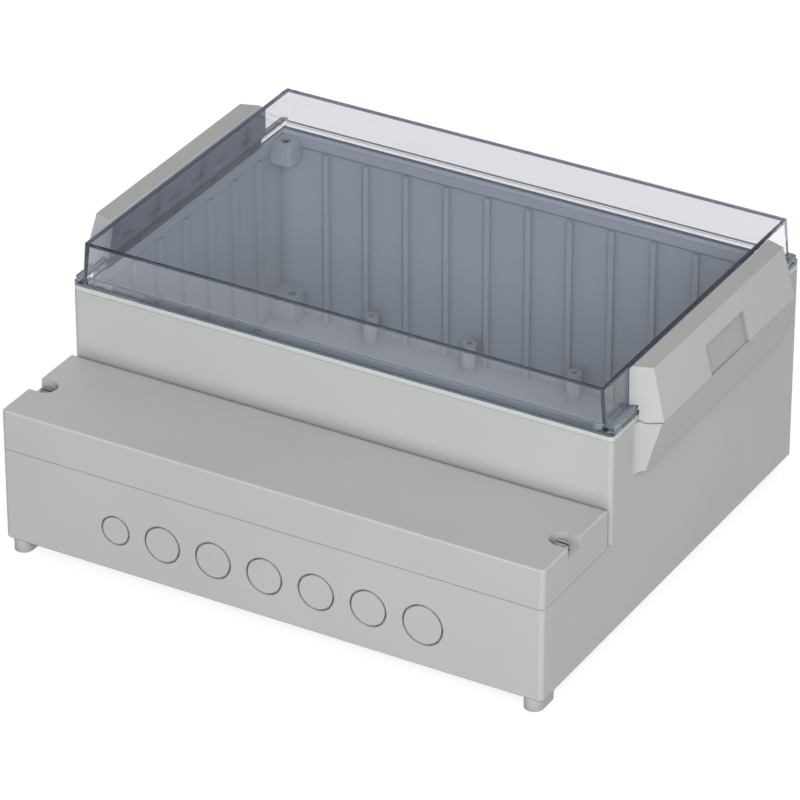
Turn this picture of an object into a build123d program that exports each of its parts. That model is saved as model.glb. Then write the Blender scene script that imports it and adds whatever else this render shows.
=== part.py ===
from build123d import *
import os
from math import atan, degrees, cos, sin, radians

os.makedirs("parts", exist_ok=True)

# Overall form of the stepped housing. X is to the right, Y to the back, Z up.
# The origin is the centre of the rectangle that the enclosure covers, at the feet.
width = 302.0
depth = 266.0
foot_height = 7.0
terminal_depth = 67.0
terminal_rim_height = 51.0
cover_height = 22.0
main_rim_height = 108.0
lid_height = 27.0
wall = 3.0
floor_thickness = 3.0
corner_radius = 2.5
bottom_edge_chamfer = 0.8

# Rims that carry the seals
rim_width = 5.0
rim_depth = 5.0
tongue_thickness = 1.2
tongue_height = 2.0
groove_width = 1.8
seal_height = 1.3
rim_gap = 0.3
rim_blend = 2.0

# Clear lid
lid_wall = 2.5
lid_side_inset = 4.8
lid_end_inset = 0.6
lid_draft = 1.5
lid_edge_radius = 0.6
flange_height = 7.2
flange_band = 4.5
flange_step = 0.6

# Terminal cover
cover_wall = 3.0
cover_gap = 1.4
cover_rear_radius = 4.0
cover_edge_chamfer = 0.8
pocket_width = 12.6
pocket_wall_thickness = 2.1
pocket_depth = 5.6
screw_from_front = 30.2
screw_inset = 6.7

# Captive cover screws, their washers and threaded inserts
screw_radius = 2.0
screw_head_radius = 3.5
screw_head_height = 2.6
screw_length = 27.0
screw_slot_width = 1.0
screw_slot_depth = 1.3
screw_clearance = 0.1
washer_thickness = 0.8
washer_radius = 3.6
cover_boss_half = 5.4
insert_radius = 3.3
insert_length = 9.0
screw_boss_half = 5.0
screw_bore_below = 8.0

# Stiffening ribs on the inner walls
rib_pitch = 24.0
rib_width = 3.0
rib_depth = 2.3
back_rib_count = 11
side_rib_count = 7
rib_top_gap = 2.0

# Corner bosses under the main rim
boss_size = 12.0
boss_height = 12.0
boss_drop = 1.0
boss_inset = 10.0
boss_round = 3.0
corner_insert_radius = 3.1
corner_insert_length = 8.0
corner_insert_bore = 1.65
corner_insert_sink = 0.5

# Floor pillars, wall fixing sleeves and feet
pillar_radius = 4.0
pillar_height = 14.0
pillar_bore = 1.6
pillar_bore_depth = 12.0
pillar_inner_x = 31.0
pillar_outer_x = 90.0
row_inset = 10.0
front_mount_inset_x = 7.0
rear_mount_inset_x = 13.0
mount_hole_radius = 2.25
mount_post_half = 4.5
foot_width = 10.0
foot_length = 19.0

# Row of knock-outs in the front wall
knockout_diameters = (16.4, 20.4, 20.4, 20.4, 20.4, 20.4, 22.5)
knockout_gap = 8.5
knockout_height = 23.2
knockout_groove = 1.0
knockout_groove_depth = 2.1

# Slot between the two compartments
wire_slot_width = 220.0
wire_slot_height = 22.0
wire_slot_sill = 18.0

# Side strips
strip_length = 146.0
strip_center_from_wall = 100.0
strip_top_width = 11.1
strip_reach = 12.0
strip_gap = 0.3
strip_end_slant = 0.36
strip_end_lean = 0.15
strip_wall = 2.8
strip_top_wall = 2.6
strip_bottom_drop = 0.2
strip_cap = 8.0
strip_rib = 2.4
claw_length = 8.0
claw_offset = 45.0
rib_offset = 22.0
recess_length = 40.0
recess_height = 16.0
recess_depth = 1.5
recess_slope = 1.0
recess_end_drop = 3.0
strip_heel = 3.2
strip_heel_drop = 1.1
strip_leg = 1.6
strip_inner_wall = 1.2
strip_open_drop = 4.0
strip_shelf = 2.0
slot_height = 3.8
slot_end_gap = 1.5
claw_mouth_angle = 5.0

# Round edge that each strip turns on, on a rail of the lid, and its channel in the strip
pivot_radius = 1.0
pivot_clearance = 0.06
pivot_depth = 2.1
pivot_play = 0.1
pivot_end_gap = 0.5
rail_root = 0.8
rail_rise = 0.3
rail_fall = 0.8
rail_slope = 0.6
rail_thickness = 1.4
channel_reach = 4.0
channel_wall = 0.6

# Hinge beads on the housing sides and the bulges that carry them
bead_radius = 2.0
bead_clearance = 0.05
bead_out = 7.5
bead_rise = 2.0
web_thickness = 1.4
web_angle = 25.0
bead_start = 24.0
bead_end_gap = 1.5
bulge_height = 26.5
bulge_reach = 11.5
bulge_tip = 4.6
bulge_underside = 1.5
bulge_blend = 6.0
bulge_overhang = 2.5
bulge_gap = 0.35
swing_clearance = 0.35

# Derived places
half_w = width / 2
front = -depth / 2
back = depth / 2
wall_front = front + terminal_depth
base_z = foot_height
floor_z = base_z + floor_thickness
term_z = base_z + terminal_rim_height
cover_top_z = term_z + cover_height
rim_z = base_z + main_rim_height
flange_top_z = rim_z + flange_height
lid_top_z = rim_z + lid_height
cover_back = wall_front - cover_gap
inner_w = half_w - wall
main_inner_front = wall_front + wall
main_inner_back = back - wall
tongue_inset = (rim_width - tongue_thickness) / 2
groove_inset = (rim_width - groove_width) / 2
groove_top = tongue_height + seal_height
screw_x = half_w - screw_inset
screw_y = front + screw_from_front
pocket_floor_z = cover_top_z - pocket_depth
strip_center = wall_front + strip_center_from_wall
lid_taper = degrees(atan(lid_draft / (lid_top_z - flange_top_z)))
lid_top_half = half_w - lid_side_inset - lid_draft
pivot_z = lid_top_z - pivot_depth
pivot_x = lid_top_half + strip_gap + pivot_depth + pivot_play
strip_top_x = lid_top_half + strip_gap + strip_top_width
strip_bottom_x = half_w + strip_reach
strip_bottom_z = rim_z - strip_bottom_drop
bead_x = half_w + bead_out
bead_z = rim_z + bead_rise
bead_stop = strip_length / 2 - strip_cap - bead_end_gap
strip_low_z = rim_z - strip_open_drop


def plan_block(x0, x1, y0, y1, z0, z1, radius=0.0, taper=0.0):
    """Upright block over the rectangle x0..x1, y0..y1, with rounded corners and side draft."""
    if radius > 0:
        outline = RectangleRounded(x1 - x0, y1 - y0, radius)
    else:
        outline = Rectangle(x1 - x0, y1 - y0)
    solid = extrude(outline, z1 - z0, taper=taper)
    return Pos((x0 + x1) / 2, (y0 + y1) / 2, z0) * solid


def inset_block(u, y0, y1, z0, z1, radius=0.0, taper=0.0):
    """Block over the housing width, drawn in by u on all four sides."""
    return plan_block(-half_w + u, half_w - u, y0 + u, y1 - u, z0, z1, radius, taper)


def post(radius, x, y, z0, z1):
    return Pos(x, y, z0) * extrude(Circle(radius), z1 - z0)


def hexagon_post(radius, x, y, z0, z1):
    return Pos(x, y, z0) * extrude(RegularPolygon(radius, 6), z1 - z0)


def section_along_y(points, y0, y1):
    """Solid with the outline of X, Z points, running from y0 to y1."""
    outline = Polygon(*points, align=None)
    plane = Plane(origin=(0, y1, 0), x_dir=(1, 0, 0), z_dir=(0, -1, 0))
    return extrude(plane * outline, y1 - y0, dir=(0, -1, 0))


def rod_along_y(radius, x, z, y0, y1):
    plane = Plane(origin=(0, y1, 0), x_dir=(1, 0, 0), z_dir=(0, -1, 0))
    return extrude(plane * (Pos(x, z) * Circle(radius)), y1 - y0)


def other_side(solid):
    return mirror(solid, about=Plane.YZ)


def both_sides(solid):
    return solid + other_side(solid)


# Housing


def ring(u0, u1, y0, y1, z0, z1):
    """Upright rectangular ring between the insets u0 and u1."""
    return inset_block(u0, y0, y1, z0, z1) - inset_block(u1, y0, y1, z0 - 1, z1 + 1)


def rim_tongue(y0, y1, z0):
    return ring(tongue_inset, tongue_inset + tongue_thickness, y0, y1, z0, z0 + tongue_height)


def hollow(y0, y1, rim):
    """Hollow inside the rectangle y0..y1: full below, narrower within the thick rim."""
    rim_start = rim - rim_depth
    low = inset_block(wall, y0, y1, floor_z, rim_start - rim_blend)
    blend = inset_block(wall, y0, y1, rim_start - rim_blend, rim_start, 0, 45)
    top = inset_block(rim_width, y0, y1, rim_start - 0.01, rim + tongue_height + 1)
    return low + blend + top


def main_hollow():
    return hollow(wall_front, back, rim_z)


def terminal_hollow():
    """Hollow of the terminal compartment, closed at its top by a shelf on the tall wall."""
    low_top = term_z - rim_depth
    low = plan_block(-inner_w, inner_w, front + wall, wall_front, floor_z, low_top)
    return low + inset_block(rim_width, front, cover_back, low_top - 0.01, term_z + rim_width)


def bulge_section(y0, y1):
    """The bulge's outline across the wall, run from y0 to y1."""
    top = strip_bottom_z - bulge_gap
    low = top - bulge_height
    inside = half_w - wall / 2
    outline = [
        (inside, top),
        (half_w + bulge_reach, top),
        (half_w + bulge_tip, low),
        (half_w, low - bulge_underside),
        (inside, low - bulge_underside),
    ]
    return section_along_y(outline, y0, y1)


def bulge_plan(y0, y1, spare):
    """The bulge's outline seen from above, its slanted ends blended into the wall."""
    slant = bulge_reach * strip_end_slant
    outside = half_w + bulge_reach
    inside = half_w - wall
    points = [
        (inside, y0 - spare),
        (half_w, y0 - spare),
        (half_w, y0),
        (outside, y0 + slant),
        (outside, y1 - slant),
        (half_w, y1),
        (half_w, y1 + spare),
        (inside, y1 + spare),
    ]
    outline = Polygon(*points, align=None)
    roots = [outline.vertices().sort_by_distance((half_w, y, 0))[0] for y in (y0, y1)]
    outline = fillet(roots, bulge_blend)
    return Pos(0, 0, base_z) * extrude(outline, main_rim_height, dir=(0, 0, 1))


def strip_swing(y0, y1):
    """Room that the hinge strip needs to turn about the beads, outside the wall's face."""
    radius = ((strip_bottom_x - bead_x) ** 2 + (bead_z - strip_bottom_z) ** 2) ** 0.5 + swing_clearance
    heel_z = rim_z - strip_heel_drop - 2 * swing_clearance
    above = rim_z + strip_heel
    heel = [(half_w, heel_z), (bead_x, heel_z), (bead_x, above), (half_w, above)]
    return rod_along_y(radius, bead_x, bead_z, y0, y1) + section_along_y(heel, y0, y1)


def strip_seat(y0, y1):
    """Room for the latch strip's lower edge, above the closed top of its bulge."""
    above = rim_z + strip_heel
    outside = half_w + strip_reach + 1
    line = [
        (half_w, rim_z),
        (half_w + strip_gap + strip_heel, rim_z - strip_heel_drop - swing_clearance),
        (outside, strip_bottom_z - swing_clearance),
        (outside, above),
        (half_w, above),
    ]
    return section_along_y(line, y0, y1)


def bulge(hinge):
    """Right-hand bulge under the strip. The hinge one is hollowed for the strip's turning edge."""
    y0 = strip_center - strip_length / 2 - bulge_overhang
    y1 = strip_center + strip_length / 2 + bulge_overhang
    spare = 2 * bulge_blend
    start = max(y0 - spare, wall_front)
    end = min(y1 + spare, back)
    body = bulge_section(start, end) & bulge_plan(y0, y1, spare)
    wall_side = plan_block(0, half_w, start - 1, end + 1, 0, lid_top_z)
    room = strip_swing(start - 1, end + 1) if hinge else strip_seat(start - 1, end + 1)
    return body - (room - wall_side)


def hinge_bead(y0, y1):
    """One bead with the web that carries it from the right-hand wall."""
    rod = rod_along_y(bead_radius, bead_x, bead_z, y0, y1)
    reach = bead_out / cos(radians(web_angle)) + wall / 2
    dx = cos(radians(web_angle))
    dz = sin(radians(web_angle))
    half = web_thickness / 2
    near = (bead_x, bead_z)
    far = (bead_x - reach * dx, bead_z - reach * dz)
    web = section_along_y(
        [
            (near[0] + half * dz, near[1] - half * dx),
            (near[0] - half * dz, near[1] + half * dx),
            (far[0] - half * dz, far[1] + half * dx),
            (far[0] + half * dz, far[1] - half * dx),
        ],
        y0,
        y1,
    )
    return rod + web


def wall_ribs():
    """Upright ribs on the four inner walls of the main compartment."""
    z0 = floor_z - 0.5
    z1 = rim_z - rim_depth - rib_top_gap
    middle = (wall_front + back) / 2
    ribs = []
    for i in range(back_rib_count):
        x = (i - (back_rib_count - 1) / 2) * rib_pitch
        x0 = x - rib_width / 2
        x1 = x + rib_width / 2
        ribs.append(plan_block(x0, x1, main_inner_back - rib_depth, back - wall / 2, z0, z1))
        ribs.append(plan_block(x0, x1, wall_front + wall / 2, main_inner_front + rib_depth, z0, z1))
    for i in range(side_rib_count):
        y = middle + (i - (side_rib_count - 1) / 2) * rib_pitch
        y0 = y - rib_width / 2
        y1 = y + rib_width / 2
        ribs.append(plan_block(inner_w - rib_depth, half_w - wall / 2, y0, y1, z0, z1))
        ribs.append(plan_block(-half_w + wall / 2, -inner_w + rib_depth, y0, y1, z0, z1))
    return ribs


def corner_places():
    """Centres of the four corner bosses, by name."""
    x = half_w - boss_inset
    return {
        "front_left": (-x, wall_front + boss_inset),
        "front_right": (x, wall_front + boss_inset),
        "rear_left": (-x, back - boss_inset),
        "rear_right": (x, back - boss_inset),
    }


def corner_boss(x, y):
    top = rim_z - boss_drop
    half = boss_size / 2
    side = 1 if x > 0 else -1
    end = 1 if y > (wall_front + back) / 2 else -1
    shift = (boss_inset - wall / 2 - half) / 2
    size = boss_size + 2 * shift
    outline = RectangleRounded(size, size, boss_round)
    place = Pos(x + side * shift, y + end * shift, top - boss_height)
    return place * extrude(outline, boss_height)


def mount_places():
    """Centres of the four wall fixing holes, the rear pair set further in."""
    pairs = ((front_mount_inset_x, front + row_inset), (rear_mount_inset_x, back - row_inset))
    return [(side * (half_w - inset), y) for inset, y in pairs for side in (-1, 1)]


def pillar_places():
    """Four pillars along the back and two along the front, that a mounting plate rests on."""
    outer = (-pillar_outer_x, pillar_outer_x)
    inner = (-pillar_inner_x, pillar_inner_x)
    rear = [(x, back - row_inset) for x in outer + inner]
    return rear + [(x, main_inner_front + row_inset - wall) for x in outer]


def knockout_places():
    """Centre and radius of each knock-out, with equal gaps and centred on the front wall."""
    places = []
    x = 0.0
    for i, size in enumerate(knockout_diameters):
        if i > 0:
            x += (knockout_diameters[i - 1] + size) / 2 + knockout_gap
        places.append((x, size / 2))
    middle = (places[0][0] + places[-1][0]) / 2
    return [(x - middle, radius) for x, radius in places]


def knockout_groove_ring(x, radius):
    face = Plane(origin=(x, front, base_z + knockout_height), x_dir=(1, 0, 0), z_dir=(0, 1, 0))
    ring = Circle(radius) - Circle(radius - knockout_groove)
    return extrude(face * ring, knockout_groove_depth)


def terminal_screw_boss(x):
    """Square column on the side wall, that holds the insert for a cover screw."""
    side = 1 if x > 0 else -1
    x0, x1 = sorted((x - side * screw_boss_half, side * (half_w - wall / 2)))
    y0 = screw_y - screw_boss_half
    return plan_block(x0, x1, y0, y0 + 2 * screw_boss_half, floor_z - 0.5, term_z)


def mount_post(x, y):
    """Square column in the corner, that the wall fixing hole runs through, with its foot."""
    side = 1 if x > 0 else -1
    end = 1 if y > 0 else -1
    x0, x1 = sorted((x - side * mount_post_half, side * (half_w - wall / 2)))
    y0, y1 = sorted((y - end * mount_post_half, end * (back - wall / 2)))
    column = plan_block(x0, x1, y0, y1, floor_z - 0.5, floor_z + pillar_height)
    foot = extrude(SlotOverall(foot_length, foot_width, rotation=90), base_z + 0.5)
    return column + Pos(x, y, 0) * foot


def make_base_housing():
    low = plan_block(-half_w, half_w, front, back, base_z, term_z, corner_radius)
    high = plan_block(-half_w, half_w, wall_front, back, base_z, rim_z, corner_radius)
    body = low + high
    body = chamfer(body.edges().group_by(Axis.Z)[0], bottom_edge_chamfer)
    body += bulge(False)
    body += other_side(bulge(True))
    body -= terminal_hollow()
    body -= main_hollow()
    body += rim_tongue(front, cover_back, term_z)
    body += rim_tongue(wall_front, back, rim_z)
    for rib in wall_ribs():
        body += rib
    for x, y in corner_places().values():
        body += corner_boss(x, y)
    for x, y in pillar_places():
        body += post(pillar_radius, x, y, floor_z - 0.5, floor_z + pillar_height)
    for x in (-screw_x, screw_x):
        body += terminal_screw_boss(x)
    for x, y in mount_places():
        body += mount_post(x, y)
    y0 = strip_center + bead_start
    y1 = strip_center + bead_stop
    for bead in (hinge_bead(y0, y1), hinge_bead(2 * strip_center - y1, 2 * strip_center - y0)):
        body += both_sides(bead)
    for x, y in corner_places().values():
        top = rim_z - boss_drop
        depth_of_bore = corner_insert_length + corner_insert_sink
        body -= hexagon_post(corner_insert_radius, x, y, top - depth_of_bore, top + 0.5)
    for x, y in pillar_places():
        top = floor_z + pillar_height
        body -= post(pillar_bore, x, y, top - pillar_bore_depth, top + 0.5)
    for x, y in mount_places():
        body -= post(mount_hole_radius, x, y, -1, floor_z + pillar_height + 1)
    for x in (-screw_x, screw_x):
        low = term_z - insert_length
        body -= hexagon_post(insert_radius, x, screw_y, low, term_z + 1)
        body -= post(screw_radius + screw_clearance, x, screw_y, low - screw_bore_below, term_z)
    for x, radius in knockout_places():
        body -= knockout_groove_ring(x, radius)
    sill = floor_z + wire_slot_sill
    half = wire_slot_width / 2
    slot_back = main_inner_front + rib_depth + 0.5
    body -= plan_block(-half, half, wall_front - 1, slot_back, sill, sill + wire_slot_height)
    return body


# Terminal cover


def pocket(x):
    """Open pocket in the cover's side edge, round at its inner end."""
    side = 1 if x > 0 else -1
    z0 = pocket_floor_z
    round_end = post(pocket_width / 2, x, screw_y, z0, cover_top_z + 1)
    x0, x1 = sorted((x, side * (half_w + 1)))
    y0 = screw_y - pocket_width / 2
    return round_end + plan_block(x0, x1, y0, y0 + pocket_width, z0, cover_top_z + 1)


def pocket_wall(x):
    """Material around the pocket and the column that the screw passes through."""
    side = 1 if x > 0 else -1
    half = pocket_width / 2 + pocket_wall_thickness
    z0 = pocket_floor_z - cover_wall
    side_x = side * (half_w - cover_wall / 2)
    x0, x1 = sorted((x - side * half, side_x))
    around = plan_block(x0, x1, screw_y - half, screw_y + half, z0, cover_top_z - cover_wall / 2)
    x0, x1 = sorted((x - side * cover_boss_half, x + side * cover_boss_half))
    y0 = screw_y - cover_boss_half
    column = plan_block(x0, x1, y0, y0 + 2 * cover_boss_half, term_z + rim_gap, z0 + 1)
    return around + column


def rear_rounding():
    """What the large radius takes off the cover's top rear edge."""
    radius = cover_rear_radius
    y = cover_back - radius
    z = cover_top_z - radius
    corner = plan_block(-half_w - 1, half_w + 1, y, cover_back + 1, z, cover_top_z + 1)
    face = Plane(origin=(-half_w - 2, y, z), x_dir=(0, 1, 0), z_dir=(1, 0, 0))
    return corner - extrude(face * Circle(radius), width + 4)


def make_terminal_cover():
    z0 = term_z + rim_gap
    body = plan_block(-half_w, half_w, front, cover_back, z0, cover_top_z, corner_radius)
    body = chamfer(body.faces().sort_by(Axis.Z)[-1].edges(), cover_edge_chamfer)
    body -= rear_rounding()
    inner_top = cover_top_z - cover_wall
    rim_top = term_z + rim_depth + rim_blend
    body -= inset_block(cover_wall, front, cover_back, rim_top, inner_top)
    body -= inset_block(rim_width, front, cover_back, z0 - 1, rim_top + 0.01)
    for x in (-screw_x, screw_x):
        body += pocket_wall(x)
    groove_end = groove_inset + groove_width
    body -= ring(groove_inset, groove_end, front, cover_back, z0 - 1, term_z + groove_top)
    for x in (-screw_x, screw_x):
        body -= pocket(x)
        body -= post(screw_radius + screw_clearance, x, screw_y, z0 - 1, cover_top_z)
    return body


def make_terminal_cover_seal():
    z0 = term_z + tongue_height
    return ring(groove_inset, groove_inset + groove_width, front, cover_back, z0, z0 + seal_height)


def make_washer(x):
    z0 = pocket_floor_z
    disc = post(washer_radius, x, screw_y, z0, z0 + washer_thickness)
    return disc - post(screw_radius + screw_clearance, x, screw_y, z0 - 1, z0 + 2)


def make_screw(x):
    """Captive cheese-head screw with a driver slot."""
    seat = pocket_floor_z + washer_thickness
    top = seat + screw_head_height
    tip = seat - screw_length
    head = post(screw_head_radius, x, screw_y, seat, top)
    x0 = x - 2 * screw_head_radius
    x1 = x + 2 * screw_head_radius
    half = screw_slot_width / 2
    head -= plan_block(x0, x1, screw_y - half, screw_y + half, top - screw_slot_depth, top + 1)
    return head + post(screw_radius, x, screw_y, tip, seat)


def brass_insert(radius, bore, length, x, y, top):
    """Six-sided insert, threaded inside and moulded into its boss."""
    body = hexagon_post(radius, x, y, top - length, top)
    return body - post(bore, x, y, top - length - 1, top + 1)


# Lid


def lid_rect(extra, z0, z1, radius, taper):
    """Block inside the lid's wall line, drawn in by extra, with side draft."""
    x = half_w - lid_side_inset - extra
    y0 = wall_front + lid_end_inset + extra
    y1 = back - lid_end_inset - extra
    return plan_block(-x, x, y0, y1, z0, z1, radius, taper)


def pivot_rail():
    """Right-hand rail on the lid wall, whose round edge the strip turns on."""
    half = strip_length / 2 - strip_cap - pivot_end_gap
    y0 = strip_center - half
    y1 = strip_center + half
    root_x = lid_top_half - rail_root
    root_z = pivot_z - rail_slope
    web = [
        (pivot_x, pivot_z + rail_rise),
        (root_x, root_z),
        (root_x, root_z - rail_thickness),
        (pivot_x - rail_rise, pivot_z - rail_fall),
    ]
    return rod_along_y(pivot_radius, pivot_x, pivot_z, y0, y1) + section_along_y(web, y0, y1)


def make_clear_lid():
    skirt_z = rim_z + rim_gap
    ceiling = rim_z + groove_top
    hood = lid_rect(0, ceiling, flange_top_z + 0.01, corner_radius, 0)
    hood += lid_rect(0, flange_top_z, lid_top_z, corner_radius, lid_taper)
    hood = fillet(hood.edges().group_by(Axis.Z)[-1], lid_edge_radius)
    band = plan_block(-half_w, half_w, wall_front, back, skirt_z, skirt_z + flange_band, corner_radius)
    step = inset_block(flange_step, wall_front, back, skirt_z, flange_top_z, corner_radius)
    body = band + step + hood
    body -= lid_rect(lid_wall, flange_top_z, lid_top_z - lid_wall, 0, lid_taper)
    x = half_w - lid_side_inset - lid_wall
    y0 = wall_front + rim_width
    y1 = back - rim_width
    body -= plan_block(-x, x, y0, y1, ceiling, flange_top_z + 0.01)
    body -= inset_block(rim_width, wall_front, back, skirt_z - 1, ceiling + 0.01)
    body -= ring(groove_inset, groove_inset + groove_width, wall_front, back, skirt_z - 1, ceiling)
    return body + both_sides(pivot_rail())


def make_lid_seal():
    z0 = rim_z + tongue_height
    return ring(groove_inset, groove_inset + groove_width, wall_front, back, z0, z0 + seal_height)


# Side strips


def strip_outer(z):
    """Outer face of the right-hand strip at height z."""
    share = (lid_top_z - z) / (lid_top_z - strip_bottom_z)
    return strip_top_x + share * (strip_bottom_x - strip_top_x)


def strip_section():
    """Solid outline of the strip: round at the pivot, notched for the lid's flange."""
    wall_line = half_w - lid_side_inset + strip_gap
    step_line = half_w - flange_step + strip_gap
    edge_line = half_w + strip_gap
    band_top = rim_z + rim_gap + flange_band + strip_gap
    return [
        (pivot_x, lid_top_z),
        (pivot_x - pivot_depth, pivot_z),
        (wall_line, flange_top_z + strip_gap),
        (step_line, flange_top_z + strip_gap),
        (step_line, band_top),
        (edge_line, band_top),
        (edge_line, rim_z + rim_gap),
        (edge_line + strip_heel, rim_z - strip_heel_drop),
        (strip_bottom_x, strip_bottom_z),
        (strip_top_x, lid_top_z),
    ]


def strip_hollow(y0, y1):
    """Hollow of one bay, open below, with the slot through the inner wall."""
    leg = half_w + strip_gap + strip_leg
    shelf = flange_top_z + strip_shelf
    panel = half_w - lid_side_inset + strip_gap + strip_inner_wall
    top = lid_top_z - strip_top_wall
    channel_x = pivot_x + pivot_depth + channel_wall
    wide = [
        (channel_x, top),
        (strip_outer(top) - strip_wall, top),
        (strip_outer(strip_low_z) - strip_wall, strip_low_z),
        (leg, strip_low_z),
        (leg, shelf),
        (panel, shelf),
        (panel, pivot_z - pivot_depth - 2 * channel_wall),
        (channel_x, pivot_z - 2 * channel_wall),
    ]
    slot_low = shelf + rail_thickness
    slot_y = (y0 + slot_end_gap, y1 - slot_end_gap)
    slot = plan_block(pivot_x - channel_reach, panel + 1, *slot_y, slot_low, slot_low + slot_height)
    return section_along_y(wide, y0, y1) + slot


def strip_end_cuts():
    """What lies beyond the strip's ends, which slant back outwards and lean out below."""
    reach = 4 * lid_height
    plane = Plane(
        origin=(lid_top_half, strip_center - strip_length / 2, lid_top_z),
        x_dir=(1, strip_end_slant, 0),
        z_dir=(strip_end_slant, -1, strip_end_lean),
    )
    cut = extrude(plane * Rectangle(reach, reach), reach / 2)
    middle = Plane(origin=(0, strip_center, 0), z_dir=(0, 1, 0))
    return [cut, mirror(cut, about=middle)]


def strip_bays():
    """Start and end of each hollow bay between the caps and ribs, from the middle."""
    claw_start = claw_offset - claw_length / 2
    claw_end = claw_offset + claw_length / 2
    right = [
        (strip_rib / 2, rib_offset - strip_rib / 2),
        (rib_offset + strip_rib / 2, claw_start),
        (claw_end, strip_length / 2 - strip_cap),
    ]
    return [(-b, -a) for a, b in right] + right


def pivot_channel():
    """Channel for the lid's rail, open towards the lid over the strip's swing."""
    y0 = strip_center - strip_length / 2 + strip_cap
    y1 = strip_center + strip_length / 2 - strip_cap
    open_x = pivot_x - channel_reach
    mouth = [
        (pivot_x, pivot_z + channel_wall),
        (open_x, pivot_z + rail_thickness),
        (open_x, pivot_z - rail_thickness - pivot_depth),
        (pivot_x - 2 * channel_wall, pivot_z - pivot_depth),
        (pivot_x, pivot_z - pivot_radius),
    ]
    rod = rod_along_y(pivot_radius + pivot_clearance, pivot_x, pivot_z, y0, y1)
    return rod + section_along_y(mouth, y0, y1)


def bead_room(hinge):
    """Room for the housing's bead and its web: a claw on the hinge side, open on the latch side."""
    y0 = strip_center - strip_length / 2 + strip_cap
    y1 = strip_center + strip_length / 2 - strip_cap
    radius = bead_radius + bead_clearance
    low = strip_low_z
    inner = half_w - wall / 2
    leg = half_w + strip_gap + strip_leg
    under = rim_z + 2 * rim_gap if hinge else bead_z + rim_gap
    mouth_z = bead_z - (bead_x - inner) * sin(radians(claw_mouth_angle))
    outlines = [
        [(bead_x, low), (bead_x + radius, low), (bead_x + radius, bead_z), (bead_x, bead_z)],
        [(inner, low), (bead_x, low), (bead_x, under), (inner, under)],
    ]
    if hinge:
        outlines.append([(bead_x, bead_z), (inner, mouth_z), (inner, low), (bead_x, low)])
    else:
        above = bead_z + radius
        outlines.append([(bead_x, low), (bead_x, above), (leg, above), (leg, low)])
    room = rod_along_y(radius, bead_x, bead_z, y0, y1)
    for outline in outlines:
        room += section_along_y(outline, y0, y1)
    return room


def finger_recess():
    """Shallow recess in the outer face, deepest below and open at the strip's lower edge."""
    y0 = strip_center - recess_length / 2
    top = strip_bottom_z + recess_height
    start = top - recess_slope
    end = rim_z - recess_end_drop
    outline = [
        (strip_outer(top), top),
        (strip_outer(start) - recess_depth, start),
        (strip_outer(end) - recess_depth, end),
        (strip_outer(end) + recess_depth, end),
        (strip_outer(top) + recess_depth, top),
    ]
    return section_along_y(outline, y0, y0 + recess_length)


def make_strip(hinge):
    """Right-hand strip. The hinge one grips its beads; the latch one lifts off them."""
    y0 = strip_center - strip_length / 2 - strip_reach
    y1 = strip_center + strip_length / 2 + strip_reach
    body = section_along_y(strip_section(), y0, y1)
    body += rod_along_y(pivot_depth, pivot_x, pivot_z, y0, y1)
    for cut in strip_end_cuts():
        body -= cut
    for start, end in strip_bays():
        body -= strip_hollow(strip_center + start, strip_center + end)
    body -= pivot_channel()
    body -= bead_room(hinge)
    return body - finger_recess()


# Every piece, by its name


def make_all():
    parts = {
        "base_housing": make_base_housing(),
        "terminal_cover": make_terminal_cover(),
        "terminal_cover_seal": make_terminal_cover_seal(),
        "clear_lid": make_clear_lid(),
        "lid_seal": make_lid_seal(),
        "hinge_strip_left": other_side(make_strip(True)),
        "latch_strip_right": make_strip(False),
    }
    for side, x in (("left", -screw_x), ("right", screw_x)):
        parts["terminal_screw_" + side] = make_screw(x)
        parts["screw_washer_" + side] = make_washer(x)
        parts["terminal_insert_" + side] = brass_insert(
            insert_radius, screw_radius + screw_clearance, insert_length, x, screw_y, term_z
        )
    top = rim_z - boss_drop - corner_insert_sink
    for corner, (x, y) in corner_places().items():
        parts["corner_insert_" + corner] = brass_insert(
            corner_insert_radius, corner_insert_bore, corner_insert_length, x, y, top
        )
    return parts


for name, shape in make_all().items():
    export_step(shape, "parts/" + name + ".step")
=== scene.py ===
"""The controller enclosure dressed for its picture: finishes, cover screws, floor, lights and camera."""

import math

import bpy
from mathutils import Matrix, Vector


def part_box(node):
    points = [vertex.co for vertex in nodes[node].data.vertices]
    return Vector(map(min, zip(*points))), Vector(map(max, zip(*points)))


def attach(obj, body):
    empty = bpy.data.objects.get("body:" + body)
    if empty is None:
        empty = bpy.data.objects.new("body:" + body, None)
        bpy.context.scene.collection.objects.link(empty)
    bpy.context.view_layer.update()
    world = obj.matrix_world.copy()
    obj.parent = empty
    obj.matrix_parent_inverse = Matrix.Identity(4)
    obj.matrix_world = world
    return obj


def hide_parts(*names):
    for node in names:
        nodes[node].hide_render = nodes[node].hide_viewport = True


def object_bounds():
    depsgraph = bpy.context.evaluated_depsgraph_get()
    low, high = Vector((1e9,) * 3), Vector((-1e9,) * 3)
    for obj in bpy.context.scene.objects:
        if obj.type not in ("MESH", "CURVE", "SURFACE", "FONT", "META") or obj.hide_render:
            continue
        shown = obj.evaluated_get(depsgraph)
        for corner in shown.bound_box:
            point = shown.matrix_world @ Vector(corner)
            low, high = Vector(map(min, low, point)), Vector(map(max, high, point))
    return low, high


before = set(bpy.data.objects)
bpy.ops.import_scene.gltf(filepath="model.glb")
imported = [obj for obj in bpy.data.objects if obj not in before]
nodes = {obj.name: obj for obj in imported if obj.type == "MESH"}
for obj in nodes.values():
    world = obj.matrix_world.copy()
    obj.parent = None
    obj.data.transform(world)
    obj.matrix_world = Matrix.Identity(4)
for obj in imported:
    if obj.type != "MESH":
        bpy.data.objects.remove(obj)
cad_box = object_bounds()

MM = 0.001

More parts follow.
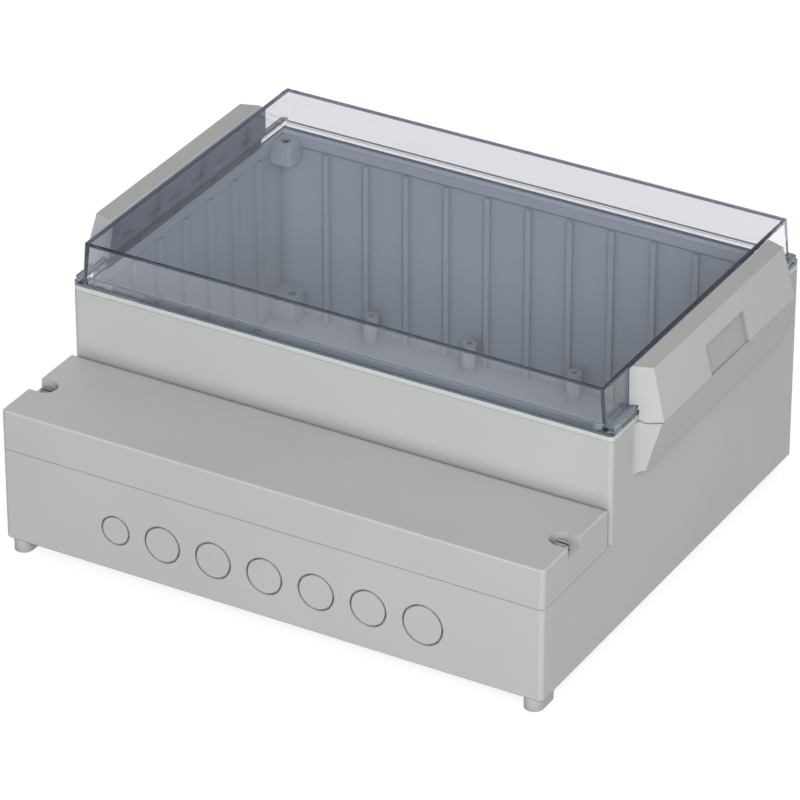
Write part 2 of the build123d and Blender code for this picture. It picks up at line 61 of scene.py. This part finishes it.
# View of the photograph, found by fitting the housing's corners, with angles in degrees
CAMERA_AZIMUTH = 29.777
CAMERA_ELEVATION = 30.140
CAMERA_DISTANCE = 2657.86 * MM
CAMERA_TARGET = Vector((2.687, -8.447, 67.0)) * MM
SENSOR = 36.0
FOCAL_PIXELS = 5365.58
IMAGE_PIXELS = 800
FAR_CLIP = 20.0

# Moulded ABS: sRGB colours, gloss from its shiniest to its dullest spots, and sizes in millimetres
GREY_ABS = "#C8CAC8"
COVER_ABS = "#C8C8C8"
STRIP_ABS = "#C8CAC8"
ABS_IOR = 1.54
ABS_SHINY = 0.41
ABS_DULL = 0.53
PIT_SIZE = 0.55
PIT_DEPTH = 0.02 * MM
CLOUD_SIZE = 70
CLOUD_TONE = 0.955
EDGE_RADIUS = 0.45 * MM

# Painted shade in grooves and corners, less of it where a face looks up
SHADE_REACH = 8.0 * MM
PAINTED_HOLLOW_SHADE = 0.56
PAINTED_SHADE_LOOKING_UP = 0.92
UP_FROM = 0.80
UP_FULL = 0.95

# Painted shade on the flat tops of the cover and the strips, and the darker tone of the latch strip's
# finger recess
COVER_TOP_SHADE = 0.86
STRIP_TOP_SHADE = 0.72
RECESS_TONE = 0.81
RECESS_LENGTH = 40.0 * MM
RECESS_TOP = 130.8 * MM

# Clear lid: its tint, the dimmer bluer light it lets through to the housing as painted shade, and the
# painted shade of its edge lines
LID_TINT = "#FDFDFF"
LID_SHADE = "#DEE4F0"
LID_EDGE_SHADE = "#8A92A0"
LID_IOR = 1.50
LID_COAT = 0.45
LID_TURNS = 4
RIPPLE_SIZE = 90
RIPPLE_DEPTH = 0.05 * MM

# Milky rim of the lid's flange, up from the lid's lower edge
FLANGE_WHITE = "#E6EBE9"
FLANGE_IOR = 1.58
FLANGE_STEP = 2.6 * MM
MILKINESS = 0.75

# Seals, washers and metal parts
SEAL_FOAM = "#C9CEC8"
WASHER_RUBBER = "#1F2022"
SEAL_IOR = 1.48
PORE_SIZE = 0.6
PORE_DEPTH = 0.15 * MM
ZINC = "#C9CCCF"
BRASS = "#C9A45C"
NICKEL = "#CFCCC6"
BLOOM_SIZE = 1.2
BLOOM_DEPTH = 0.02 * MM

# Cover screws: M4 thread under a cheese head
SCREW_SIDES = 40
RINGS_PER_PITCH = 8
THREAD_PITCH = 0.7 * MM
THREAD_CORE = 1.62 * MM
THREAD_OUTSIDE = 2.0 * MM
THREAD_LENGTH = 8.8 * MM
FLANK_STEEPNESS = 1.25
TIP_RADIUS = THREAD_CORE * 0.75
RUN_OUT = 0.3 * MM
NECK_RADIUS = 1.6 * MM
HEAD_RADIUS = 3.5 * MM
HEAD_HEIGHT = 2.6 * MM
HEAD_CHAMFER = 0.15 * MM
HEAD_ROUND = 0.4 * MM
SLOT_WIDTH = 1.0 * MM
SLOT_DEPTH = 1.3 * MM
SMOOTH_ANGLE = math.radians(35)

# Floor: what it gives the object, and how white it is where it is seen
FLOOR_REACH = 6.0
FLOOR_GAP = 0.05 * MM
FLOOR_MATT = 0.22
FLOOR_SEEN = 0.32
FLOOR_GLOW = 0.80

# Air around the object, and the dark ceiling that only gloss and glass show
SKY_LEVEL = 0.34
CEILING_RISE = 0.5
CEILING_LEVEL = 0.25

# Soft boxes: the way they lie from the object, distance and size in metres, and power
LAMPS = {
    "key_box": (Vector((0.48, -0.75, 0.50)), 2.5, 1.4, 51.0),
    "back_box": (Vector((-0.50, 0.45, 0.90)), 2.6, 1.6, 9.0),
    "rear_box": (Vector((-0.62, 0.78, 0.14)), 2.6, 1.6, 24.0),
}


def linear(code):
    """The linear colour, with alpha, of an sRGB hex colour."""
    parts = [int(code[i:i + 2], 16) / 255 for i in (1, 3, 5)]
    return [p / 12.92 if p <= 0.04045 else ((p + 0.055) / 1.055) ** 2.4 for p in parts] + [1.0]


def grey(level):
    """A linear grey, with alpha."""
    return (level, level, level, 1.0)


def per_mm(size):
    """Texture scale at which a pattern repeats about every size millimetres."""
    return 1 / (size * MM)


def add(tree, kind, inputs=None, **settings):
    """A shader node with its settings. An input given as a node or a socket is linked."""
    node = tree.nodes.new("ShaderNode" + kind)
    for name, value in settings.items():
        setattr(node, name, value)
    for name, value in (inputs or {}).items():
        if isinstance(value, bpy.types.Node):
            value = value.outputs[0]
        if isinstance(value, bpy.types.NodeSocket):
            tree.links.new(value, node.inputs[name])
        else:
            node.inputs[name].default_value = value
    return node


def new_material(name):
    """A material and its empty node tree."""
    material = bpy.data.materials.new(name)
    material.use_nodes = True
    material.node_tree.nodes.clear()
    return material, material.node_tree


def recess_floor(tree, place):
    """1 on the latch strip's finger recess, which runs down to the strip's lower edge, else 0."""
    low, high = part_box("latch_strip_right")
    at = add(tree, "SeparateXYZ", {"Vector": place})
    along = add(tree, "Math", {0: at.outputs["Y"], 1: (low.y + high.y) / 2, 2: RECESS_LENGTH / 2},
                operation="COMPARE")
    up = add(tree, "Math", {0: at.outputs["Z"], 1: (low.z + RECESS_TOP) / 2, 2: (RECESS_TOP - low.z) / 2},
             operation="COMPARE")
    return add(tree, "Math", {0: along, 1: up}, operation="MULTIPLY")


# Moulded ABS: one solid colour under painted shade, a dull sheen and the fine pitted skin of a spark-eroded
# mould
def moulded_abs(name, colour, top=1.0, recess=1.0):
    """Moulded ABS with painted shade in its grooves and corners. Top is the painted shade on its flat top,
    and recess how much darker its finger recess is drawn.
    """
    material, tree = new_material(name)
    place = add(tree, "TexCoord").outputs["Object"]
    # The real pits are about 0.1 mm across and are drawn coarser so that they show
    pits = add(tree, "TexNoise", {"Vector": place, "Scale": per_mm(PIT_SIZE), "Detail": 2.0})
    # Slow change of tone where the melt cooled unevenly
    cloud = add(tree, "TexNoise", {"Vector": place, "Scale": per_mm(CLOUD_SIZE), "Detail": 3.0})
    tone = add(tree, "MapRange", {"Value": cloud, "From Min": 0.3, "From Max": 0.7,
                                  "To Min": CLOUD_TONE, "To Max": 1.0})
    facing = add(tree, "NewGeometry").outputs["Normal"]
    rise = add(tree, "SeparateXYZ", {"Vector": facing}).outputs["Z"]
    up = add(tree, "MapRange", {"Value": rise, "From Min": UP_FROM, "From Max": UP_FULL})
    # Painted shade in grooves and corners, from how near other surfaces are, less of it where they face up
    near = add(tree, "AmbientOcclusion", {"Distance": SHADE_REACH}, samples=8).outputs["AO"]
    shade = add(tree, "MapRange", {"Value": near, "To Min": PAINTED_HOLLOW_SHADE, "To Max": 1.0})
    lit = add(tree, "MapRange", {"Value": up, "To Min": shade, "To Max": PAINTED_SHADE_LOOKING_UP})
    shade = add(tree, "Math", {0: lit, 1: shade}, operation="MAXIMUM")
    tone = add(tree, "Math", {0: tone, 1: shade}, operation="MULTIPLY")
    # Faces that look up are painted darker: painted shade on the flat tops
    if top < 1.0:
        painted_top_shade = add(tree, "MapRange", {"Value": up, "To Min": 1.0, "To Max": top})
        tone = add(tree, "Math", {0: tone, 1: painted_top_shade}, operation="MULTIPLY")
    # The finger recess is drawn darker
    if recess < 1.0:
        recess_darkening = add(tree, "MapRange", {"Value": recess_floor(tree, place), "To Min": 1.0, "To Max": recess})
        tone = add(tree, "Math", {0: tone, 1: recess_darkening}, operation="MULTIPLY")
    skin = add(tree, "VectorMath", {0: linear(colour)[:3], "Scale": tone}, operation="SCALE")
    rough = add(tree, "MapRange", {"Value": pits, "From Min": 0.3, "From Max": 0.7,
                                   "To Min": ABS_SHINY, "To Max": ABS_DULL})
    edge = add(tree, "Bevel", {"Radius": EDGE_RADIUS}, samples=4)
    pitted = add(tree, "Bump", {"Height": pits, "Distance": PIT_DEPTH, "Strength": 0.35, "Normal": edge})
    plastic = add(tree, "BsdfPrincipled", {"Base Color": skin, "Roughness": rough,
                                           "IOR": ABS_IOR, "Normal": pitted})
    add(tree, "OutputMaterial", {"Surface": plastic})
    return material


# Clear polycarbonate, injection-moulded with a hard coat: glass-bright, faintly blue and slightly wavy,
# with painted grey-blue shade in the lines along its edges and a painted shade on what lies under it
def clear_polycarbonate(name):
    """Clear polycarbonate with the flange's milky rim."""
    material, tree = new_material(name)
    place = add(tree, "TexCoord").outputs["Object"]
    ripple = add(tree, "TexNoise", {"Vector": place, "Scale": per_mm(RIPPLE_SIZE), "Detail": 1.0})
    wave = add(tree, "Bump", {"Height": ripple, "Distance": RIPPLE_DEPTH, "Strength": 0.2})
    sheet = add(tree, "BsdfPrincipled", {"Base Color": linear(LID_TINT), "Roughness": 0.0, "IOR": LID_IOR,
                                         "Transmission Weight": 1.0, "Coat Weight": LID_COAT,
                                         "Coat Roughness": 0.0, "Normal": wave})
    # Light caught inside the sheet leaves it again after a few turns, through the grey-blue edge colour:
    # painted shade for the lines along the lid's edges
    ray = add(tree, "LightPath")
    caught = add(tree, "Math", {0: ray.outputs["Ray Depth"], 1: LID_TURNS}, operation="GREATER_THAN")
    painted_edge_shade = add(tree, "BsdfTransparent", {"Color": linear(LID_EDGE_SHADE)})
    sheet = add(tree, "MixShader", {0: caught, 1: sheet, 2: painted_edge_shade})
    # Light on its way to the housing goes straight through, turning bluer and much dimmer than the lid
    # looks: painted shade on what lies under the lid
    lets_by = add(tree, "Math", {0: ray.outputs["Is Shadow Ray"], 1: ray.outputs["Is Diffuse Ray"]},
                  operation="MAXIMUM")
    pass_on = add(tree, "BsdfTransparent", {"Color": linear(LID_SHADE)})
    sheet = add(tree, "MixShader", {0: lets_by, 1: sheet, 2: pass_on})
    # The flange's rim, pressed down on the pale housing, shows milky
    height = add(tree, "SeparateXYZ", {"Vector": place}).outputs["Z"]
    rim = add(tree, "Math", {0: height, 1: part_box("clear_lid")[0].z, 2: FLANGE_STEP}, operation="COMPARE")
    share = add(tree, "Math", {0: rim, 1: MILKINESS}, operation="MULTIPLY")
    milky = add(tree, "BsdfPrincipled", {"Base Color": linear(FLANGE_WHITE), "Roughness": 0.30,
                                         "IOR": FLANGE_IOR})
    banded = add(tree, "MixShader", {0: share, 1: sheet, 2: milky})
    add(tree, "OutputMaterial", {"Surface": banded})
    return material


# Soft seals of foamed polyurethane or moulded rubber: dull, with small open pores, painted darker in the
# pores as painted shade
def soft_seal(name, colour):
    """A seal's material in this colour."""
    material, tree = new_material(name)
    place = add(tree, "TexCoord").outputs["Object"]
    cells = add(tree, "TexVoronoi", {"Vector": place, "Scale": per_mm(PORE_SIZE)})
    pores = add(tree, "Bump", {"Height": cells, "Distance": PORE_DEPTH, "Strength": 0.6})
    # Painted shade in the pores and painted light on the ridges between them
    shade = add(tree, "MapRange", {"Value": cells, "To Min": 0.75, "To Max": 1.15})
    skin = add(tree, "VectorMath", {0: linear(colour)[:3], "Scale": shade}, operation="SCALE")
    body = add(tree, "BsdfPrincipled", {"Base Color": skin, "Roughness": 0.85, "IOR": SEAL_IOR,
                                        "Normal": pores})
    add(tree, "OutputMaterial", {"Surface": body})
    return material


# Bare or plated metal, turned: bright, its gloss broken up by the surface's fine bloom
def bright_metal(name, colour):
    """A metal in this colour."""
    material, tree = new_material(name)
    place = add(tree, "TexCoord").outputs["Object"]
    bloom = add(tree, "TexNoise", {"Vector": place, "Scale": per_mm(BLOOM_SIZE), "Detail": 4.0})
    rough = add(tree, "MapRange", {"Value": bloom, "From Min": 0.3, "From Max": 0.7,
                                   "To Min": 0.22, "To Max": 0.40})
    worn = add(tree, "Bump", {"Height": bloom, "Distance": BLOOM_DEPTH, "Strength": 0.3})
    metal = add(tree, "BsdfPrincipled", {"Base Color": linear(colour), "Metallic": 1.0,
                                         "Roughness": rough, "Normal": worn})
    add(tree, "OutputMaterial", {"Surface": metal})
    return material


def plain_object(name, points, faces):
    """An object of these points and faces, put in the scene."""
    mesh = bpy.data.meshes.new(name)
    mesh.from_pydata(points, [], faces)
    piece = bpy.data.objects.new(name, mesh)
    bpy.context.scene.collection.objects.link(piece)
    return piece


def thread_radius(turn, height):
    """Radius of the screw thread at this share of a turn and this height."""
    phase = (height / THREAD_PITCH - turn) % 1.0
    flank = 1.0 - abs(2.0 * phase - 1.0)
    return THREAD_CORE + (THREAD_OUTSIDE - THREAD_CORE) * min(1.0, flank * FLANK_STEEPNESS)


def screw_rings(tip, top):
    """Height and radius rule of each ring of a cheese-head screw, from its tip to its head's top."""
    seat = top - HEAD_HEIGHT
    thread_top = tip + THREAD_LENGTH
    rings = [(tip, lambda turn: TIP_RADIUS)]
    steps = round(THREAD_LENGTH / THREAD_PITCH * RINGS_PER_PITCH)
    for i in range(1, steps):
        height = tip + THREAD_LENGTH * i / steps
        rings.append((height, lambda turn, height=height: thread_radius(turn, height)))
    neck_and_head = [
        (thread_top, THREAD_OUTSIDE),
        (thread_top + RUN_OUT, NECK_RADIUS),
        (seat, NECK_RADIUS),
        (seat, HEAD_RADIUS - HEAD_CHAMFER),
        (seat + HEAD_CHAMFER, HEAD_RADIUS),
        (top - HEAD_ROUND, HEAD_RADIUS),
        (top, HEAD_RADIUS - HEAD_ROUND),
        (top, HEAD_RADIUS * 0.5),
    ]
    for height, radius in neck_and_head:
        rings.append((height, lambda turn, radius=radius: radius))
    return rings


def ring_points(centre, height, radius_at):
    """Points of one ring of the screw."""
    points = []
    for i in range(SCREW_SIDES):
        turn = i / SCREW_SIDES
        angle = turn * math.tau
        radius = radius_at(turn)
        points.append((centre.x + radius * math.cos(angle), centre.y + radius * math.sin(angle), height))
    return points


def ring_faces(count):
    """Faces that close this many rings at both ends and join each to the next."""
    faces = [tuple(reversed(range(SCREW_SIDES)))]
    for ring in range(count - 1):
        start = ring * SCREW_SIDES
        for i in range(SCREW_SIDES):
            a = start + i
            b = start + (i + 1) % SCREW_SIDES
            faces.append((a, b, b + SCREW_SIDES, a + SCREW_SIDES))
    last = (count - 1) * SCREW_SIDES
    faces.append(tuple(last + i for i in range(SCREW_SIDES)))
    return faces


def slot_cutter(centre, top):
    """Bar whose shape the driver slot takes out of the head."""
    half = SLOT_WIDTH / 2
    reach = HEAD_RADIUS * 1.5
    corners = [(centre.x + sx * reach, centre.y + sy * half, top + sz * SLOT_DEPTH)
               for sz in (-1, 1) for sy in (-1, 1) for sx in (-1, 1)]
    faces = [(0, 2, 3, 1), (4, 5, 7, 6), (0, 1, 5, 4), (2, 6, 7, 3), (0, 4, 6, 2), (1, 3, 7, 5)]
    return plain_object("slot_bar", corners, faces)


def slotted_mesh(blank, bar):
    """The screw's mesh with its driver slot cut. The blank and the bar are used up."""
    cut = blank.modifiers.new("driver_slot", "BOOLEAN")
    cut.operation = "DIFFERENCE"
    cut.solver = "EXACT"
    cut.object = bar
    seen = blank.evaluated_get(bpy.context.evaluated_depsgraph_get())
    mesh = bpy.data.meshes.new_from_object(seen)
    for spare in (blank, bar):
        bpy.data.objects.remove(spare)
    mesh.shade_smooth()
    mesh.set_sharp_from_angle(angle=SMOOTH_ANGLE)
    return mesh


def make_screw(side, material):
    """Cover screw with a real thread, in place of the plain solid."""
    low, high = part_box("terminal_screw_" + side)
    centre = (low + high) / 2
    rings = screw_rings(low.z, high.z)
    points = []
    for height, radius_at in rings:
        points += ring_points(centre, height, radius_at)
    blank = plain_object("screw_blank", points, ring_faces(len(rings)))
    mesh = slotted_mesh(blank, slot_cutter(centre, high.z))
    mesh.name = "cover_screw_" + side
    mesh.materials.append(material)
    piece = bpy.data.objects.new("cover_screw_" + side, mesh)
    bpy.context.scene.collection.objects.link(piece)
    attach(piece, side + "_screw")
    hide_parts("terminal_screw_" + side)


def wear(node, material):
    """Gives a CAD node's every slot this material."""
    for slot in nodes[node].material_slots:
        slot.material = material


def seen_directly(tree):
    """1 for a ray from the camera, off a gloss or through glass, else 0."""
    ray = add(tree, "LightPath")
    gloss = add(tree, "Math", {0: ray.outputs["Is Glossy Ray"], 1: ray.outputs["Is Transmission Ray"]},
                operation="MAXIMUM")
    return add(tree, "Math", {0: ray.outputs["Is Camera Ray"], 1: gloss}, operation="MAXIMUM")


def make_floor():
    """Floor that is seen white with the object's shadow, and that gives little light back."""
    edge = FLOOR_REACH / 2
    height = cad_box[0].z - FLOOR_GAP
    corners = [(-edge, -edge, height), (edge, -edge, height), (edge, edge, height), (-edge, edge, height)]
    floor = plain_object("floor", corners, [(0, 1, 2, 3)])
    material, tree = new_material("white_studio_floor")
    matt = add(tree, "BsdfDiffuse", {"Color": grey(FLOOR_MATT)})
    faint = add(tree, "BsdfDiffuse", {"Color": grey(FLOOR_SEEN)})
    glow = add(tree, "Emission", {"Color": grey(1.0), "Strength": FLOOR_GLOW})
    bright = add(tree, "AddShader", {0: faint, 1: glow})
    mix = add(tree, "MixShader", {0: seen_directly(tree), 1: matt, 2: bright})
    add(tree, "OutputMaterial", {"Surface": mix})
    floor.data.materials.append(material)


def make_sky():
    """Soft even light all round, seen as white behind the object."""
    world = bpy.data.worlds.new("studio_air")
    world.use_nodes = True
    bpy.context.scene.world = world
    tree = world.node_tree
    tree.nodes.clear()
    soft = add(tree, "Background", {"Color": grey(1.0), "Strength": SKY_LEVEL})
    # A dark ceiling over the white surroundings keeps reflections off the lid's flat top
    place = add(tree, "TexCoord").outputs["Generated"]
    height = add(tree, "SeparateXYZ", {"Vector": place}).outputs["Z"]
    dim = add(tree, "MapRange", {"Value": height, "From Min": 0.0, "From Max": CEILING_RISE,
                                 "To Min": 1.0, "To Max": CEILING_LEVEL})
    camera_ray = add(tree, "LightPath").outputs["Is Camera Ray"]
    level = add(tree, "Mix", {"Factor": camera_ray, "A": dim, "B": 1.0})
    white = add(tree, "Background", {"Color": grey(1.0), "Strength": level})
    mix = add(tree, "MixShader", {0: seen_directly(tree), 1: soft, 2: white})
    add(tree, "OutputWorld", {"Surface": mix})


def make_lamp(name, direction, distance, size, power):
    """A square soft box that looks at the object's middle."""
    data = bpy.data.lights.new(name, "AREA")
    data.size = size
    data.energy = power
    lamp = bpy.data.objects.new(name, data)
    lamp.location = CAMERA_TARGET + direction.normalized() * distance
    lamp.rotation_euler = direction.to_track_quat("Z", "Y").to_euler()
    # Gloss and glass show the pale room but not the lamps, or the lid would turn into a white mirror
    lamp.visible_camera = False
    lamp.visible_glossy = False
    lamp.visible_transmission = False
    bpy.context.scene.collection.objects.link(lamp)


def make_camera():
    """Camera at the photograph's place."""
    data = bpy.data.cameras.new("photo_view")
    data.sensor_width = SENSOR
    data.lens = FOCAL_PIXELS / IMAGE_PIXELS * SENSOR
    data.clip_end = FAR_CLIP
    camera = bpy.data.objects.new("photo_view", data)
    turn = math.radians(CAMERA_AZIMUTH)
    lift = math.radians(CAMERA_ELEVATION)
    back = Vector((math.sin(turn) * math.cos(lift), -math.cos(turn) * math.cos(lift), math.sin(lift)))
    camera.location = CAMERA_TARGET + back * CAMERA_DISTANCE
    camera.rotation_euler = back.to_track_quat("Z", "Y").to_euler()
    bpy.context.scene.collection.objects.link(camera)
    bpy.context.scene.camera = camera


housing_abs = moulded_abs("moulded_grey_abs", GREY_ABS)
cover_abs = moulded_abs("moulded_cover_abs", COVER_ABS, top=COVER_TOP_SHADE)
hinge_abs = moulded_abs("moulded_hinge_strip_abs", STRIP_ABS, top=STRIP_TOP_SHADE)
latch_abs = moulded_abs("moulded_latch_strip_abs", STRIP_ABS, top=STRIP_TOP_SHADE, recess=RECESS_TONE)
lid_clear = clear_polycarbonate("clear_polycarbonate")
seal_foam = soft_seal("grey_seal_foam", SEAL_FOAM)
washer_rubber = soft_seal("black_washer_rubber", WASHER_RUBBER)
screw_zinc = bright_metal("zinc_plated_steel", ZINC)
insert_brass = bright_metal("turned_brass", BRASS)
insert_nickel = bright_metal("nickel_plated_brass", NICKEL)

wear("base_housing", housing_abs)
wear("terminal_cover", cover_abs)
wear("clear_lid", lid_clear)
wear("hinge_strip_left", hinge_abs)
wear("latch_strip_right", latch_abs)
for seal in ("lid_seal", "terminal_cover_seal"):
    wear(seal, seal_foam)
for side in ("left", "right"):
    make_screw(side, screw_zinc)
    wear("screw_washer_" + side, washer_rubber)
    wear("terminal_insert_" + side, insert_brass)
    for end in ("front", "rear"):
        wear("corner_insert_" + end + "_" + side, insert_nickel)

make_floor()
make_sky()
for name, (direction, distance, size, power) in LAMPS.items():
    make_lamp(name, direction, distance, size, power)
make_camera()
bpy.context.scene.view_settings.view_transform = "Standard"
